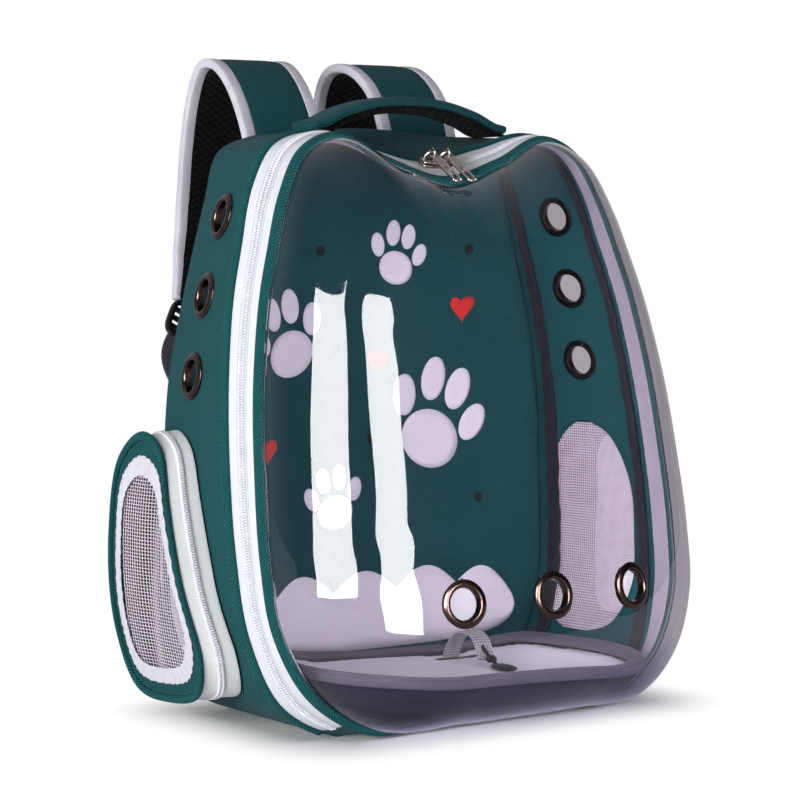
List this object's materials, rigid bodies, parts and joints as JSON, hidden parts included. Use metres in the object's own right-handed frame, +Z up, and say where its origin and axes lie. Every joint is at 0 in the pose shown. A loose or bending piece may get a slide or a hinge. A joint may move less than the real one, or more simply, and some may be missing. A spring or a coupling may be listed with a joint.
{
  "type": "pet carrier backpack",
  "caption": "Fabric pet carrier backpack with a clear domed front door closed by a zip, side pockets with mesh windows, vent eyelets, a carry handle and padded shoulder straps.",
  "frame": {"origin": "on the floor under the flat base, at the middle of its width", "axes": "+X to the right as the clear front is seen, -Y out of the clear front, +Z up"},
  "size_m": [0.4408, 0.3269, 0.472],
  "materials": {
    "fabric_green": "fine twill, matte",
    "piping_green": "rolled cloth edge, matte",
    "tape_white": "woven zip tape, matte",
    "binding_silver": "woven binding, slight sheen",
    "mesh_pale": "open net",
    "lining_black": "air mesh, matte",
    "binding_grey": "woven binding, matte",
    "mat_lilac": "soft cloth, matte",
    "clear_plastic": "clear, glossy",
    "eyelet_bronze": "dark bronze, polished",
    "zip_nickel": "polished",
    "plastic_black": "satin"
  },
  "bodies": {
    "carrier": {"back_panel": "fabric_green", "base_panel": "fabric_green", "buckle_left": "plastic_black", "buckle_right": "plastic_black", "clear_dome": "clear_plastic", "dome_eyelet_left": "eyelet_bronze", "dome_eyelet_middle": "eyelet_bronze", "dome_eyelet_right": "eyelet_bronze", "door_hinge": "fabric_green", "frame_piping": "piping_green", "handle_lining": "lining_black", "handle_pad": "fabric_green", "inner_binding_back": "binding_grey", "inner_binding_front": "binding_grey", "mat": "mat_lilac", "mat_binding": "binding_grey", "pocket_face_left": "fabric_green", "pocket_face_right": "fabric_green", "pocket_mesh_left": "mesh_pale", "pocket_mesh_right": "mesh_pale", "pocket_piping_left": "piping_green", "pocket_piping_right": "piping_green", "pocket_wall_left": "tape_white", "pocket_wall_right": "tape_white", "seam_piping": "piping_green", "side_eyelet_lower_left": "eyelet_bronze", "side_eyelet_lower_right": "eyelet_bronze", "side_eyelet_middle_left": "eyelet_bronze", "side_eyelet_middle_right": "eyelet_bronze", "side_eyelet_upper_left": "eyelet_bronze", "side_eyelet_upper_right": "eyelet_bronze", "side_wall_left": "fabric_green", "side_wall_right": "fabric_green", "strap_binding_inner_left": "binding_silver", "strap_binding_inner_right": "binding_silver", "strap_binding_outer_left": "binding_silver", "strap_binding_outer_right": "binding_silver", "strap_lining_left": "lining_black", "strap_lining_right": "lining_black", "strap_pad_left": "fabric_green", "strap_pad_right": "fabric_green", "tether_clip": "plastic_black", "tether_strap": "binding_silver", "top_wall": "fabric_green", "wall_mesh_left": "mesh_pale", "wall_mesh_right": "mesh_pale", "webbing_left": "binding_grey", "webbing_right": "binding_grey", "window_binding_left": "tape_white", "window_binding_right": "tape_white", "zip_coil": "tape_white", "zip_slider_left": "zip_nickel", "zip_slider_right": "zip_nickel", "zip_tape_front": "tape_white", "zip_tape_rear": "tape_white"},
    "pull_left": {"zip_pull_left": "zip_nickel"},
    "pull_right": {"zip_pull_right": "zip_nickel"}
  },
  "joints": [
    {"name": "pull_left_hinge", "type": "hinge", "parent": "carrier", "child": "pull_left", "pos_m": [-0.00597, -0.01605, 0.40019], "axis": [-1, 0, 0], "range_deg": [0, 170]},
    {"name": "pull_right_hinge", "type": "hinge", "parent": "carrier", "child": "pull_right", "pos_m": [0.00728, -0.016, 0.40035], "axis": [-1, 0, 0], "range_deg": [0, 170]}
  ]
}
